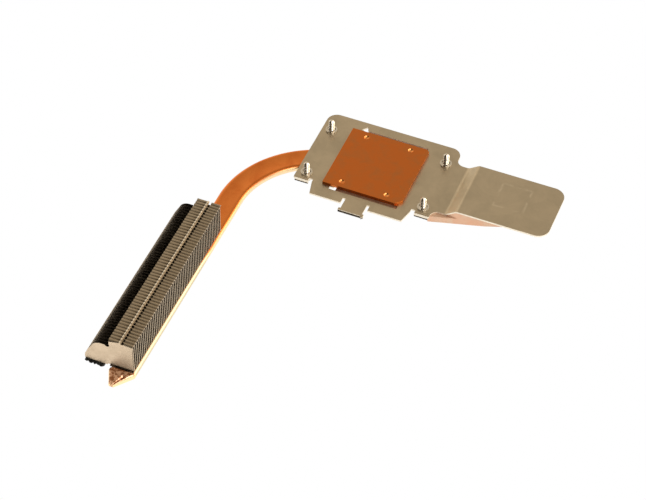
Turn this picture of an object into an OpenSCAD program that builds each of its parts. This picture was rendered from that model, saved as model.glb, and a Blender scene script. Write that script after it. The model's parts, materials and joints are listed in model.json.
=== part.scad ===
// Laptop heatsink, shown with its contact side up: a copper block on a sprung steel plate,
// a flattened heat pipe bent through a corner, and a stack of stamped fins for a blower's outlet.
// The origin is the centre of the block's contact face, +Z leaves that face, +X runs towards
// the plate's extension and +Y runs away from the fins' closed end.

/* [Contact block] */
// Side of the square contact block
block_side = 27; // [24:0.5:30]
// Height of the block above the plate
block_rise = 1.0; // [0.6:0.1:1.6]
// Cut across the block's front right corner
block_chamfer = 2.2; // [0:0.1:4]
// Distance between the stake marks along X
stake_pitch_x = 15.4; // [10:0.1:18]
// Distance between the stake marks along Y
stake_pitch_y = 22.1; // [16:0.1:23]

/* [Spring plate] */
// Thickness of the sheet
sheet_t = 0.6; // [0.4:0.05:0.8]
// Width of the main field along X
plate_w = 46.6; // [46:0.1:50]
// Rear edge of the main field from the origin
plate_rear = 18.5; // [17:0.1:20]
// Front edge of the two ears from the origin
ear_front = 14.1; // [13.8:0.1:15]
// Front edge of the middle section from the origin
apron_front = 19.0; // [18:0.1:20]
// Radius of the rear corners
plate_corner_r = 3.5; // [2:0.1:5]
// Height of the flanges folded down on the ears
flange_drop = 1.5; // [1:0.1:2]

/* [Extension] */
// Right end of the extension from the origin
ext_end = 61; // [55:0.5:66]
// Width of the extension along Y
ext_w = 22.4; // [20:0.1:24]
// Step up from the main field to the extension
ext_step = 2.5; // [1:0.1:3]
// Radius of the extension's outer corners
ext_corner_r = 4; // [2:0.1:6]

/* [Captive screws] */
// Distance between the screws along X
screw_pitch_x = 40.2; // [39:0.1:41]
// Distance between the screws along Y
screw_pitch_y = 21.4; // [20:0.1:22]
// Thread diameter
screw_d = 2.0; // [1.6:0.1:2.2]
// Length of the screw standing above the plate
screw_rise = 4.4; // [3:0.1:5]
// How far each screw can lift before its head meets the plate
screw_travel = 0.6; // [0.3:0.1:0.8]

/* [Heat pipe] */
// Width of the flattened pipe
pipe_w = 8.1; // [7:0.1:8.5]
// Thickness of the flattened pipe
pipe_t = 2.5; // [2.3:0.1:3]
// Radius of the bend along the pipe's middle
bend_r = 30; // [26:0.5:34]
// Angle that the pipe turns through
bend_angle = 100; // [90:1:100]
// Distance from the origin to the pipe's leg along the fins
leg_x = 38.55; // [37:0.05:40]

/* [Fins] */
// Number of fins in the stack
fin_count = 54; // [30:2:56]
// Distance from one fin to the next
fin_pitch = 1.17; // [1:0.01:1.18]
// Thickness of a fin's sheet
fin_t = 0.2; // [0.15:0.05:0.3]
// Height of the tall part of a fin
fin_h = 11.2; // [9:0.1:13]
// Width of the tall part of a fin
fin_w = 7.9; // [7:0.1:9]
// Front face of the first fin from the origin
stack_front = 107.5; // [105:0.1:107.7]

/* [Hidden] */
$fn = 64;
eps = 0.01;

corners = ["rear_left", "rear_right", "front_left", "front_right"];
pair_count = (fin_count - 2) / 2;
function two_digits(i) = str(i < 10 ? "0" : "", i);

// Levels, counted from the contact face
plate_top = -block_rise;
plate_under = plate_top - sheet_t;
ext_top = plate_top + ext_step;
ext_under = ext_top - sheet_t;
pipe_top = plate_under;
pipe_under = pipe_top - pipe_t;

// Window in the plate, with a wide gap at the block's front and rear edges
window_left = -9.4;
window_right = 12.5;
window_front = -14.8;
window_rear = 15.0;
window_notch = 1.4;
boss_left = -8.6;
boss_right = window_right - 0.3;
// Foot of the block, which fills the window a little below the plate's face
foot_front = window_front + 0.08;
foot_rear = window_rear - 0.1;
foot_drop = 0.3;

// Neck and ramp of the extension
neck_y0 = -10.7;
neck_y1 = neck_y0 + ext_w;
neck_fillet = 2.4;
ramp_start = 27.7;
ramp_run = 3.5;
ramp_end = ramp_start + ramp_run;

// Middle section of the front edge, its slots and its tongue
apron_root = 16.9;
apron_tip = 15.7;
ear_relief_w = 1.4;
ear_relief_y = -12.8;
slot_inner_y = -16.8;
tongue_x0 = -4.05;
tongue_x1 = 3.3;
slot_w = 0.95;
tongue_end = -22.1;
bar_depth = 0.9;
bar_x0 = -4.7;
bar_x1 = 3.9;
bar_drop = 1.1;
nick_w = 0.7;
spur_length = 0.9;

// Screw and clip
screw_r = screw_d / 2;
shoulder_r = screw_r + 0.2;
screw_fit = 0.08;
groove_r = 0.72;
clip_t = 0.45;
clip_r = 1.95;
clip_fit = 0.05;
clip_lug_r = 1.4;
head_r = 1.85;
head_t = 1.2;
point_h = 0.7;
recess_w = 0.45;
recess_depth = 0.7;

// Heat pipe
pipe_wall = 0.4;
wick_t = 0.35;
wick_fit = 0.02;
bend_lap = 0.3;
bend_thinning = 0.02;
leg_front = -107.8;
run_length = 26.8;
near_tip_length = 5.4;
near_tip_w = 1.8;
near_tip_shift = -1.3;
far_foot = [0.95, -8.05];
far_tip_front = [23.4, 2.95];
far_tip_rear = [23.1, 4.05];
far_taper = 6;
far_step_y = neck_y0 + 0.15;
far_gap = 0.05;
tip_t = 1.3;
bend_x = -leg_x + bend_r;
turn = bend_angle - 90;

// Fin profile
fin_x1 = -35.1;
fin_x0 = fin_x1 - fin_w;
fin_bottom = pipe_top;
fin_top = fin_bottom + fin_h;
nose_bottom = fin_bottom - 0.5;
nose_r = 3.8;
nose_upper = [-45.4, 2.9];
nose_lower = [-47.6, -1.2];
notch_r = 0.75;
notch_centre = [fin_x0 - 0.6, 6.95];
seam = 0.06;
fin_tab = fin_pitch - fin_t - seam;
tab_relief = 0.4;
tab_gap_x0 = -38.95;
tab_gap_x1 = -38.2;
tab_gap_depth = 0.5;
hook_w = 0.6;
hook_rise = 0.36;
hook_reach = 0.75 * fin_tab;

// Foam strip
foam_x0 = -51.2;
foam_x1 = -45.0;
stack_rear = fin_count * fin_pitch - seam - stack_front;
foam_front = -108.4;
foam_t = 1.2;
foam_overhang = 0.3;

// Rectangle with its own radius at each corner: front left, front right, rear right, rear left
module rounded_rect(x0, y0, x1, y1, radii) {
    spots = [[x0, y0], [x1, y0], [x1, y1], [x0, y1]];
    inward = [[1, 1], [-1, 1], [-1, -1], [1, -1]];
    difference() {
        translate([x0, y0]) square([x1 - x0, y1 - y0]);
        for (i = [0 : 3]) {
            r = radii[i];
            if (r > 0) {
                difference() {
                    translate(spots[i] - eps * inward[i])
                        scale_corner(inward[i]) square(r + eps);
                    translate(spots[i] + r * inward[i]) circle(r);
                }
            }
        }
    }
}

// Mirrors a shape drawn towards +X and +Y into the quadrant that the signs name
module scale_corner(signs) {
    mirror([signs[0] < 0 ? 1 : 0, 0]) mirror([0, signs[1] < 0 ? 1 : 0]) children();
}

// Concave fillet for the inner corner at a point, open towards the signs
module inner_fillet(at, r, signs) {
    translate(at) scale_corner(signs) difference() {
        translate([-eps, -eps]) square(r + eps);
        translate([r, r]) circle(r);
    }
}

module at_screw(corner) {
    sx = corner == "rear_left" || corner == "front_left" ? -1 : 1;
    sy = corner == "rear_left" || corner == "rear_right" ? 1 : -1;
    translate([sx * screw_pitch_x / 2, sy * screw_pitch_y / 2, 0]) children();
}

// Outline of the whole sheet in plan
module plate_outline() {
    half = plate_w / 2;
    difference() {
        union() {
            rounded_rect(-half, -ear_front, half, plate_rear,
                [0.4, 0.4, plate_corner_r, plate_corner_r]);
            polygon([[-apron_root, -ear_front + eps], [-apron_tip, -apron_front],
                [apron_tip, -apron_front], [apron_root, -ear_front + eps]]);
            rounded_rect(half - eps, neck_y0, ext_end, neck_y1,
                [0, ext_corner_r, ext_corner_r, 0]);
            inner_fillet([half, neck_y1], neck_fillet, [1, 1]);
            inner_fillet([half, neck_y0], neck_fillet, [1, -1]);
            tongue_outline();
        }
        for (side = [-1, 1])
            translate([side * (apron_root + ear_relief_w / 2) - ear_relief_w / 2, -ear_front - 1])
                square([ear_relief_w, 1 + ear_front + ear_relief_y]);
        for (x = [tongue_x0 - slot_w, tongue_x1])
            translate([x, -apron_front - 1]) square([slot_w, 1 + apron_front + slot_inner_y]);
    }
}

// Tongue that stands out of the front edge, with its cross bar
module tongue_outline() {
    translate([tongue_x0, tongue_end])
        square([tongue_x1 - tongue_x0, slot_inner_y - tongue_end]);
    translate([bar_x0, tongue_end]) square([bar_x1 - bar_x0, bar_depth]);
    polygon([[bar_x1 - 0.9, tongue_end + eps], [bar_x1 - 0.35, tongue_end - spur_length],
        [bar_x1, tongue_end + eps]]);
}

// Side view of the sheet: main field, ramp and raised extension
module plate_profile() {
    polygon([
        [-plate_w, plate_under], [ramp_start, plate_under],
        [ramp_end, ext_under], [ext_end + 1, ext_under],
        [ext_end + 1, ext_top], [ramp_end, ext_top],
        [ramp_start, plate_top], [-plate_w, plate_top]
    ]);
}

// Window for the block, torn open a little at its two left corners
module window_outline() {
    translate([window_left, window_front])
        square([window_right - window_left, window_rear - window_front]);
    polygon([[window_left - window_notch, window_rear - 0.2], [window_left, window_rear + 1.7],
        [window_left + 0.7, window_rear - eps], [window_left + eps, window_rear - 0.6]]);
    polygon([[window_left - window_notch, window_front + 0.1], [window_left + eps, window_front],
        [window_left + eps, window_front + 1.3], [window_left - window_notch, window_front + 1.0]]);
}

module plate() color("darkgray") {
    difference() {
        intersection() {
            translate([0, plate_w, 0]) rotate([90, 0, 0])
                linear_extrude(height = 2 * plate_w) plate_profile();
            translate([0, 0, pipe_under]) linear_extrude(height = 12) plate_outline();
        }
        translate([0, 0, plate_under - 1]) linear_extrude(height = sheet_t + 2)
            window_outline();
        for (c = corners)
            at_screw(c) translate([0, 0, plate_under - 1])
                cylinder(h = sheet_t + 2, r = shoulder_r + screw_fit);
        translate([-1.5, tongue_end - 1, plate_under - 1]) cube([nick_w, 1.5, sheet_t + 2]);
    }
    ear_flange(-plate_w / 2 + 0.4, -apron_root - ear_relief_w);
    ear_flange(apron_root + ear_relief_w, plate_w / 2 - 0.4);
    translate([bar_x0, tongue_end, plate_top - bar_drop])
        cube([bar_x1 - bar_x0, sheet_t, bar_drop - eps]);
}

// Short flange folded down along an ear's front edge
module ear_flange(x0, x1) {
    translate([x0, -ear_front, plate_top - flange_drop])
        cube([x1 - x0, sheet_t, flange_drop - eps]);
}

module contact_block() color("chocolate") {
    half = block_side / 2;
    difference() {
        union() {
            translate([0, 0, plate_top]) linear_extrude(height = block_rise)
                polygon([
                    [-half, -half], [half - block_chamfer, -half], [half, block_chamfer - half],
                    [half, half - 0.8], [half - 0.8, half], [-half, half]
                ]);
            translate([boss_left, -half, plate_under])
                cube([boss_right - boss_left, block_side, sheet_t + eps]);
            translate([boss_left, foot_front, plate_under])
                cube([boss_right - boss_left, foot_rear - foot_front, sheet_t - foot_drop]);
        }
        for (sx = [-1, 1], sy = [-1, 1])
            translate([sx * stake_pitch_x / 2, sy * stake_pitch_y / 2, 0]) stake_mark();
    }
}

// Punched mark over a stake: a ring-shaped dent round a low dome
module stake_mark() {
    translate([0, 0, 0.55]) difference() {
        sphere(r = 1.05);
        translate([0, 0, -1.35]) sphere(r = 0.55);
    }
}

// Flattened tube section, shrunk all round by an inset
module pipe_section(inset) {
    r = pipe_t / 2 - inset;
    span = pipe_w - pipe_t;
    translate([-span / 2, -r]) square([span, 2 * r]);
    for (side = [-1, 1]) translate([side * span / 2, 0]) circle(r);
}

// Leg along the fins, bend and run under the plate, shrunk all round by an inset.
// The straights lap over the bend, which is a hair thinner, so that the three meet cleanly.
module pipe_path(inset) {
    level = pipe_under + pipe_t / 2;
    translate([-leg_x, leg_front, level]) rotate([-90, 0, 0])
        linear_extrude(height = -leg_front - bend_r + bend_lap) pipe_section(inset);
    translate([bend_x, -bend_r, level]) rotate([0, 0, 180 - bend_angle])
        rotate_extrude(angle = bend_angle) translate([bend_r, 0]) pipe_section(inset + bend_thinning);
    run_frame() translate([-bend_lap, 0, level]) rotate([90, 0, 90])
        linear_extrude(height = run_length + bend_lap) pipe_section(inset);
}

// Frame at the end of the bend, with X along the run
module run_frame() {
    translate([bend_x + bend_r * sin(turn), bend_r * cos(turn) - bend_r, 0])
        rotate([0, 0, -turn]) children();
}

// Pinched end drawn along +X from a full section: plan and side view cut each other
module pinched_end(length, end_w, shift) {
    half = pipe_w / 2;
    intersection() {
        translate([0, 0, pipe_under]) linear_extrude(height = pipe_t)
            polygon([[0, -half], [0.8, -half], [length, shift - end_w / 2],
                [length + 0.4, shift], [length, shift + end_w / 2], [0.8, half], [0, half]]);
        translate([0, pipe_w, 0]) rotate([90, 0, 0]) linear_extrude(height = 2 * pipe_w)
            polygon([[0, pipe_under], [length - 1, pipe_under], [length + 0.4, pipe_under + 0.3],
                [length + 0.4, pipe_under + tip_t], [1.2, pipe_top - 0.2], [0, pipe_top]]);
        pinch_envelope(length);
    }
}

// Rounds the pinched end's long edges as the tube's own sides are rounded
module pinch_envelope(length) {
    translate([-1, 0, pipe_under + pipe_t / 2]) rotate([90, 0, 90])
        linear_extrude(height = length + 3) pipe_section(0);
}

module heat_pipe() color("peru") {
    difference() {
        pipe_path(0);
        pipe_path(pipe_wall);
    }
}

module pipe_end_near() color("peru") {
    difference() {
        translate([-leg_x, leg_front, 0]) rotate([0, 0, -90])
            pinched_end(near_tip_length, near_tip_w, near_tip_shift);
        near_crease();
    }
}

// Far end, pressed solid: a foot spreads past the screw and the front edge slants back to a tip
module pipe_end_far() color("peru") {
    half = pipe_w / 2;
    tip = far_tip_front[0];
    intersection() {
        run_frame() translate([run_length, 0, 0]) intersection() {
            translate([0, 0, pipe_under]) linear_extrude(height = ext_top - pipe_under)
                polygon([[0, -half], far_foot, far_tip_front, far_tip_rear, [0, half]]);
            translate([0, 2 * pipe_w, 0]) rotate([90, 0, 0]) linear_extrude(height = 4 * pipe_w)
                polygon([[0, pipe_under], [tip - far_taper, pipe_under], [tip, pipe_under + 0.6],
                    [tip, ext_top], [0, ext_top]]);
        }
        far_space();
    }
}

// Space under the plate that the far end fills: low under the neck, high under the extension
module far_space() {
    translate([0, plate_w, 0]) rotate([90, 0, 0]) linear_extrude(height = 2 * plate_w)
        polygon([[0, pipe_under], [ext_end, pipe_under], [ext_end, pipe_top], [0, pipe_top]]);
    translate([0, plate_w, 0]) rotate([90, 0, 0]) linear_extrude(height = plate_w - far_step_y)
        polygon([[0, pipe_under], [ext_end, pipe_under], [ext_end, ext_under],
            [ramp_end + far_gap, ext_under], [ramp_start + far_gap, pipe_top], [0, pipe_top]]);
}

// V-shaped crease that the pinching tool leaves in the near end
module near_crease() {
    depth = 0.9;
    translate([-leg_x, leg_front - 0.6, pipe_top + 0.15]) rotate([0, 9, -98])
        rotate([90, 0, 90]) linear_extrude(height = near_tip_length - 0.6)
            polygon([[-2.3, 0.6], [0, -depth], [2.3, 0.6]]);
}

module pipe_wick() color("sienna") {
    inset = pipe_wall + wick_fit;
    difference() {
        pipe_path(inset);
        pipe_path(inset + wick_t);
    }
}

// One fin's flat shape: tall part, rounded nose and the notch between them
module fin_shape() {
    along = nose_lower - nose_upper;
    side = nose_r * [along[1], -along[0]] / norm(along);
    difference() {
        union() {
            translate([fin_x0, fin_bottom]) square([fin_w, fin_h]);
            intersection() {
                union() {
                    translate(nose_upper) circle(nose_r);
                    translate(nose_lower) circle(nose_r);
                    polygon([nose_upper + side, nose_lower + side, nose_lower, nose_upper]);
                    translate([nose_lower[0], nose_bottom])
                        square([fin_x0 - nose_lower[0] - 1.5, nose_upper[1] - nose_bottom]);
                    translate([nose_upper[0], fin_bottom])
                        square([fin_x0 - nose_upper[0] + 1, nose_upper[1] + nose_r - fin_bottom]);
                }
                translate([-60, nose_bottom]) square([60 + fin_x0 + 1, 20]);
            }
        }
        translate(notch_centre) circle(notch_r);
        translate([notch_centre[0] - 0.3, notch_centre[1]]) square([0.8, 2]);
        translate([tab_gap_x0, fin_top - tab_gap_depth])
            square([tab_gap_x1 - tab_gap_x0, tab_gap_depth + 1]);
    }
}

// One stamped fin with the tabs that space it from the fin behind
module fin(index) {
    y = index * fin_pitch - stack_front;
    back = y + fin_t;
    translate([0, back, 0]) rotate([90, 0, 0]) linear_extrude(height = fin_t) fin_shape();
    translate([fin_x0, back - eps, fin_top - fin_t])
        cube([tab_gap_x0 - fin_x0, fin_tab + eps, fin_t]);
    translate([tab_gap_x1, back - eps, fin_top - fin_t])
        cube([fin_x1 - tab_gap_x1, fin_tab + eps, fin_t]);
    translate([fin_x0 + tab_relief, back - eps, fin_bottom])
        cube([fin_w - tab_relief, fin_tab + eps, fin_t]);
    translate([tab_gap_x0 - hook_w, y, fin_top - fin_t])
        cube([hook_w, hook_reach + fin_t, fin_t + hook_rise]);
}

module fin_pair(i) color("silver") {
    fin(2 * i - 1);
    fin(2 * i);
}

module foam_strip() color("dimgray") {
    translate([foam_x0, foam_front, nose_bottom - foam_t])
        cube([foam_x1 - foam_x0, stack_rear + foam_overhang - foam_front, foam_t]);
}

// Shoulder screw: head, shoulder that slides in the plate, groove for the clip and thread
module screw(corner) color("lightgray") {
    head_top = plate_under - screw_travel;
    at_screw(corner) difference() {
        union() {
            translate([0, 0, head_top - head_t]) cylinder(h = head_t, r = head_r);
            translate([0, 0, head_top - eps])
                cylinder(h = plate_top - head_top + 2 * eps, r = shoulder_r);
            translate([0, 0, plate_top])
                cylinder(h = screw_rise - point_h, r = screw_r);
            translate([0, 0, plate_top + screw_rise - point_h - eps])
                cylinder(h = point_h + eps, r1 = screw_r, r2 = 0.35);
        }
        translate([0, 0, plate_top - clip_fit]) difference() {
            cylinder(h = clip_t + 2 * clip_fit, r = screw_r + 1);
            translate([0, 0, -1]) cylinder(h = clip_t + 3, r = groove_r);
        }
        for (turn_by = [0, 90]) rotate([0, 0, turn_by])
            translate([-1.1, -recess_w / 2, head_top - head_t - eps])
                cube([2.2, recess_w, recess_depth + eps]);
    }
}

// Open retaining ring with three inner lugs, snapped in the screw's groove
module clip(corner) color("gainsboro") {
    at_screw(corner) translate([0, 0, plate_top]) linear_extrude(height = clip_t) difference() {
        circle(clip_r);
        circle(groove_r + clip_fit);
        translate([0, -clip_r - 1]) square([1.0, 2 * clip_r + 2], center = true);
        difference() {
            circle(clip_lug_r);
            for (a = [90, 210, 330]) rotate(a) translate([0, -0.45]) square([clip_r, 0.9]);
        }
    }
}

plate();
contact_block();
heat_pipe();
pipe_end_near();
pipe_end_far();
pipe_wick();
foam_strip();
color("silver") fin(0);  // fin_front
color("silver") fin(fin_count - 1);  // fin_rear
for (i = [1 : pair_count])
    fin_pair(i);
for (c = corners) {
    screw(c);
    clip(c);
}
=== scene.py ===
"""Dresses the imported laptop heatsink: camera, studio, finishes and the finely shaped pieces."""

from __future__ import annotations

import json
import logging
import math
import random
from dataclasses import dataclass, replace
from enum import Enum
from typing import Callable

import bpy
from mathutils import Matrix, Vector

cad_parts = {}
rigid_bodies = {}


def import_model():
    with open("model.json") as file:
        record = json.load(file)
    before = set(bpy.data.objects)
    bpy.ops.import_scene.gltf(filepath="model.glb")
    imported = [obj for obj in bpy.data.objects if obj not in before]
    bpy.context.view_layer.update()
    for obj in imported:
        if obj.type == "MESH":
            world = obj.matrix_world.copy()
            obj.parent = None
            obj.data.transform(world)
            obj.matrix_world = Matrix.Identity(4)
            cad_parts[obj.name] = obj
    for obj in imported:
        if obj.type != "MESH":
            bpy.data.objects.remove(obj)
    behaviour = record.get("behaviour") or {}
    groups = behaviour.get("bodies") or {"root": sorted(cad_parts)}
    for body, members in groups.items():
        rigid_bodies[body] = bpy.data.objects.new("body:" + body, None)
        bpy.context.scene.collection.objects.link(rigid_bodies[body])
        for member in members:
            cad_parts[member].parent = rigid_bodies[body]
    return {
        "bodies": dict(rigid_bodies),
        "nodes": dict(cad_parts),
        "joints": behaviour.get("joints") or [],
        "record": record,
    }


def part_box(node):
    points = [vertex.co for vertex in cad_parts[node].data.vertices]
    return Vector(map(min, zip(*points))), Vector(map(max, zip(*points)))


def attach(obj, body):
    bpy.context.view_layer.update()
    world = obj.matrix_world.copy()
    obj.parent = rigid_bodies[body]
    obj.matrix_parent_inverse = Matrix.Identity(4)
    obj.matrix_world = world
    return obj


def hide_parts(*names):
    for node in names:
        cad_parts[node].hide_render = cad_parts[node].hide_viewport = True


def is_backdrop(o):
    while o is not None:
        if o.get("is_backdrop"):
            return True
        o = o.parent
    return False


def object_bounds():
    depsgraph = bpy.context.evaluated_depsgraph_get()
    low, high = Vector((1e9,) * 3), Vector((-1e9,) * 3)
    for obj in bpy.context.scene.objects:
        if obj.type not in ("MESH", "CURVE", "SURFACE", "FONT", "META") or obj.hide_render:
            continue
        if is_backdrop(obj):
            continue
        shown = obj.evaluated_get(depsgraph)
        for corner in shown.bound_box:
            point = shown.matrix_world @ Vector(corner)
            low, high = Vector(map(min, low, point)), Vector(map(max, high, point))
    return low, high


LOG = logging.getLogger("heatsink")
MM = 0.001
CORNERS = ("rear_left", "rear_right", "front_left", "front_right")

Piece = bpy.types.Object
Socket = bpy.types.NodeSocket
Tree = bpy.types.NodeTree
Rgb = tuple[float, float, float]
Triple = tuple[float, float, float]
Span = tuple[float, float]


class Slot(Enum):
    """Material slots of the part's record."""

    PLATE = "plate_steel"
    BLOCK = "block_copper"
    PIPE = "pipe_copper"
    WICK = "wick_copper"
    FOAM = "foam"
    SCREW = "screw_steel"
    CLIP = "clip_steel"
    FIN = "fin_metal"


class Bench:
    """The modelling operators that the pieces are made with. Sizes are in millimetres."""

    @staticmethod
    def only(*objs: Piece) -> None:
        """Selects these objects and nothing else, the first one active."""
        if bpy.context.mode != "OBJECT":
            bpy.ops.object.mode_set(mode="OBJECT")
        bpy.ops.object.select_all(action="DESELECT")
        for obj in objs:
            obj.select_set(True)
        bpy.context.view_layer.objects.active = objs[0]

    @staticmethod
    def edit_all(obj: Piece) -> None:
        """Opens a piece in edit mode with everything selected."""
        Bench.only(obj)
        bpy.ops.object.mode_set(mode="EDIT")
        bpy.ops.mesh.select_all(action="SELECT")

    @staticmethod
    def leave() -> None:
        """Goes back to object mode."""
        bpy.ops.object.mode_set(mode="OBJECT")

    @staticmethod
    def take_primitive(name: str) -> Piece:
        """Names the primitive just added and applies its place, turn and size."""
        obj = bpy.context.object
        obj.name = obj.data.name = name
        bpy.ops.object.transform_apply(location=True, rotation=True, scale=True)
        return obj

    @staticmethod
    def clear_selection(obj: Piece, kind: str) -> None:
        """Deselects all of a piece's mesh in edge or corner mode, and leaves edit mode."""
        Bench.edit_all(obj)
        bpy.ops.mesh.select_mode(type=kind)
        bpy.ops.mesh.select_all(action="DESELECT")
        Bench.leave()

    @staticmethod
    def pick_edges(obj: Piece, test: Callable[[Vector, Vector], bool]) -> None:
        """Selects the edges that pass a test, and enters edit mode.

        Args:
            obj: The piece.
            test: Takes an edge's two ends in millimetres.
        """
        Bench.clear_selection(obj, "EDGE")
        for edge in obj.data.edges:
            if test(*(obj.data.vertices[i].co / MM for i in edge.vertices)):
                edge.select = True
        bpy.ops.object.mode_set(mode="EDIT")

    @staticmethod
    def shift(obj: Piece, test: Callable[[Vector], bool], move: Triple) -> None:
        """Moves the corners that pass a test.

        Args:
            obj: The piece.
            test: Takes a corner's place in millimetres.
            move: The way to move, in millimetres.
        """
        Bench.clear_selection(obj, "VERT")
        for vertex in obj.data.vertices:
            if test(vertex.co / MM):
                vertex.select = True
        bpy.ops.object.mode_set(mode="EDIT")
        bpy.ops.transform.translate(value=[step * MM for step in move])
        Bench.leave()

    @staticmethod
    def reshape(obj: Piece, rule: Callable[[Vector], Vector | None]) -> None:
        """Moves the corners of a piece by a rule.

        Args:
            obj: The piece.
            rule: Takes a corner's place in millimetres and gives the new one, or None to leave it.
        """
        for vertex in obj.data.vertices:
            new = rule(vertex.co / MM)
            if new is not None:
                vertex.co = new * MM

    @staticmethod
    def apply(obj: Piece, kind: str, **values) -> None:
        """Adds a modifier, sets its values and applies it."""
        modifier = obj.modifiers.new(kind.lower(), kind)
        for key, value in values.items():
            setattr(modifier, key, value)
        Bench.only(obj)
        bpy.ops.object.modifier_apply(modifier=modifier.name)

    @staticmethod
    def bevel(obj: Piece, width: float, segments: int, angle: float) -> None:
        """Rounds every edge sharper than an angle in degrees."""
        limit = {"limit_method": "ANGLE", "angle_limit": math.radians(angle)}
        Bench.apply(obj, "BEVEL", width=width * MM, segments=segments, **limit)

    @staticmethod
    def shade(obj: Piece, angle: float = 35.0) -> None:
        """Smooths the shading of curved faces and keeps flat faces flat."""
        Bench.only(obj)
        bpy.ops.object.shade_smooth_by_angle(angle=math.radians(angle))
        Bench.apply(obj, "WEIGHTED_NORMAL", mode="FACE_AREA", weight=80, keep_sharp=True)

    @staticmethod
    def join(objs: list[Piece], name: str) -> Piece:
        """Joins pieces into the first of them."""
        Bench.only(*objs)
        if len(objs) > 1:
            bpy.ops.object.join()
        objs[0].name = objs[0].data.name = name
        return objs[0]


@dataclass
class Sketch:
    """Places and links the nodes of one shader tree."""

    tree: Tree

    def add(self, kind: str, props: dict | None = None, **inputs) -> bpy.types.Node:
        """Adds a node.

        Args:
            kind: The node's type.
            props: Attributes of the node.
            **inputs: Values or output sockets for inputs, by name or by i followed by a number.

        Returns:
            The node.
        """
        node = self.tree.nodes.new(kind)
        for key, value in (props or {}).items():
            setattr(node, key, value)
        for key, value in inputs.items():
            is_index = key[0] == "i" and key[1:].isdigit()
            socket = node.inputs[int(key[1:])] if is_index else node.inputs[key.replace("_", " ")]
            if isinstance(value, Socket):
                self.tree.links.new(value, socket)
            else:
                socket.default_value = value
        return node

    def link(self, source: Socket, target: Socket) -> None:
        """Links an output to an input."""
        self.tree.links.new(source, target)

    def number(self, operation: str, *values: float | Socket) -> Socket:
        """Works out one number from values or sockets."""
        inputs = {f"i{spot}": value for spot, value in enumerate(values)}
        return self.add("ShaderNodeMath", {"operation": operation}, **inputs).outputs[0]

    def ramp(
        self, value: Socket, source: tuple, target: Span = (0.0, 1.0), eased: bool = True
    ) -> Socket:
        """Maps a value from one span to another.

        Args:
            value: The socket to map.
            source: The two values, or sockets, that give the two ends of the target.
            target: The two ends of the result.
            eased: Whether the way between the ends is eased.

        Returns:
            The mapped value's socket.
        """
        props = {"interpolation_type": "SMOOTHSTEP"} if eased else None
        ends = {f"i{spot}": end for spot, end in enumerate((*source, *target), start=1)}
        return self.add("ShaderNodeMapRange", props, i0=value, **ends).outputs[0]

    def mix(self, factor: Socket, low: Rgb | Socket, high: Rgb | Socket) -> Socket:
        """Mixes two colours, each three numbers or a socket, by a factor socket."""
        low, high = ((*end, 1.0) if isinstance(end, tuple) else end for end in (low, high))
        node = self.add("ShaderNodeMix", {"data_type": "RGBA"}, i0=factor, i6=low, i7=high)
        return node.outputs[2]

    def group(self, tree: Tree, **inputs) -> Socket:
        """Uses a shader group and gives its first output."""
        return self.add("ShaderNodeGroup", {"node_tree": tree}, **inputs).outputs[0]

    def relief(self, strength: float, depth: float, height: Socket) -> Socket:
        """Turns a height into a normal, with the depth in millimetres."""
        node = self.add("ShaderNodeBump", Strength=strength, Distance=depth * MM, Height=height)
        return node.outputs[0]

    def blotches(self, place: Socket, scale: float, low: float, high: float) -> Socket:
        """Adds soft blotches that reach from a low to a high value of the noise."""
        return self.group(Patterns.blotches(), Vector=place, Scale=scale, Low=low, High=high)


class Patterns:
    """Shader groups that more than one finish uses."""

    @staticmethod
    def _group(name: str, inputs: list[tuple], output: str) -> tuple:
        """Makes a group with one output.

        Args:
            name: Name of the group.
            inputs: Name, socket type and default of each input.
            output: Name of the output.

        Returns:
            The group, its sketch, its input sockets inside and its output socket inside.
        """
        tree = bpy.data.node_groups.new(name, "ShaderNodeTree")
        for label, kind, value in inputs:
            socket = tree.interface.new_socket(label, in_out="INPUT", socket_type=kind)
            if value is not None:
                socket.default_value = value
        tree.interface.new_socket(output, in_out="OUTPUT", socket_type="NodeSocketFloat")
        given = tree.nodes.new("NodeGroupInput").outputs
        return tree, Sketch(tree), given, tree.nodes.new("NodeGroupOutput").inputs[0]

    @staticmethod
    def grain() -> Tree:
        """Fine surface grain, stretched along one way.

        Returns:
            The group, with the output Height.
        """
        found = bpy.data.node_groups.get("surface_grain")
        if found:
            return found
        inputs = [
            ("Vector", "NodeSocketVector", None),
            ("Stretch", "NodeSocketVector", (1.0, 1.0, 1.0)),
            ("Scale", "NodeSocketFloat", 1000.0),
        ]
        tree, sk, given, out = Patterns._group("surface_grain", inputs, "Height")
        ends = {"i0": given["Vector"], "i1": given["Stretch"]}
        product = sk.add("ShaderNodeVectorMath", {"operation": "MULTIPLY"}, **ends)
        values = {"Scale": given["Scale"], "Detail": 4.0, "Roughness": 0.6}
        noise = sk.add("ShaderNodeTexNoise", Vector=product.outputs[0], **values)
        sk.link(noise.outputs[0], out)
        return tree

    @staticmethod
    def blotches() -> Tree:
        """Soft blotches such as tarnish and finger marks.

        Returns:
            The group, with the output Mask.
        """
        found = bpy.data.node_groups.get("soft_blotches")
        if found:
            return found
        inputs = [
            ("Vector", "NodeSocketVector", None),
            ("Scale", "NodeSocketFloat", 100.0),
            ("Low", "NodeSocketFloat", 0.4),
            ("High", "NodeSocketFloat", 0.6),
        ]
        tree, sk, given, out = Patterns._group("soft_blotches", inputs, "Mask")
        values = {"Scale": given["Scale"], "Detail": 5.0, "Roughness": 0.62, "Distortion": 0.4}
        noise = sk.add("ShaderNodeTexNoise", Vector=given["Vector"], **values)
        sk.link(sk.ramp(noise.outputs[0], (given["Low"], given["High"]), eased=False), out)
        return tree


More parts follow.
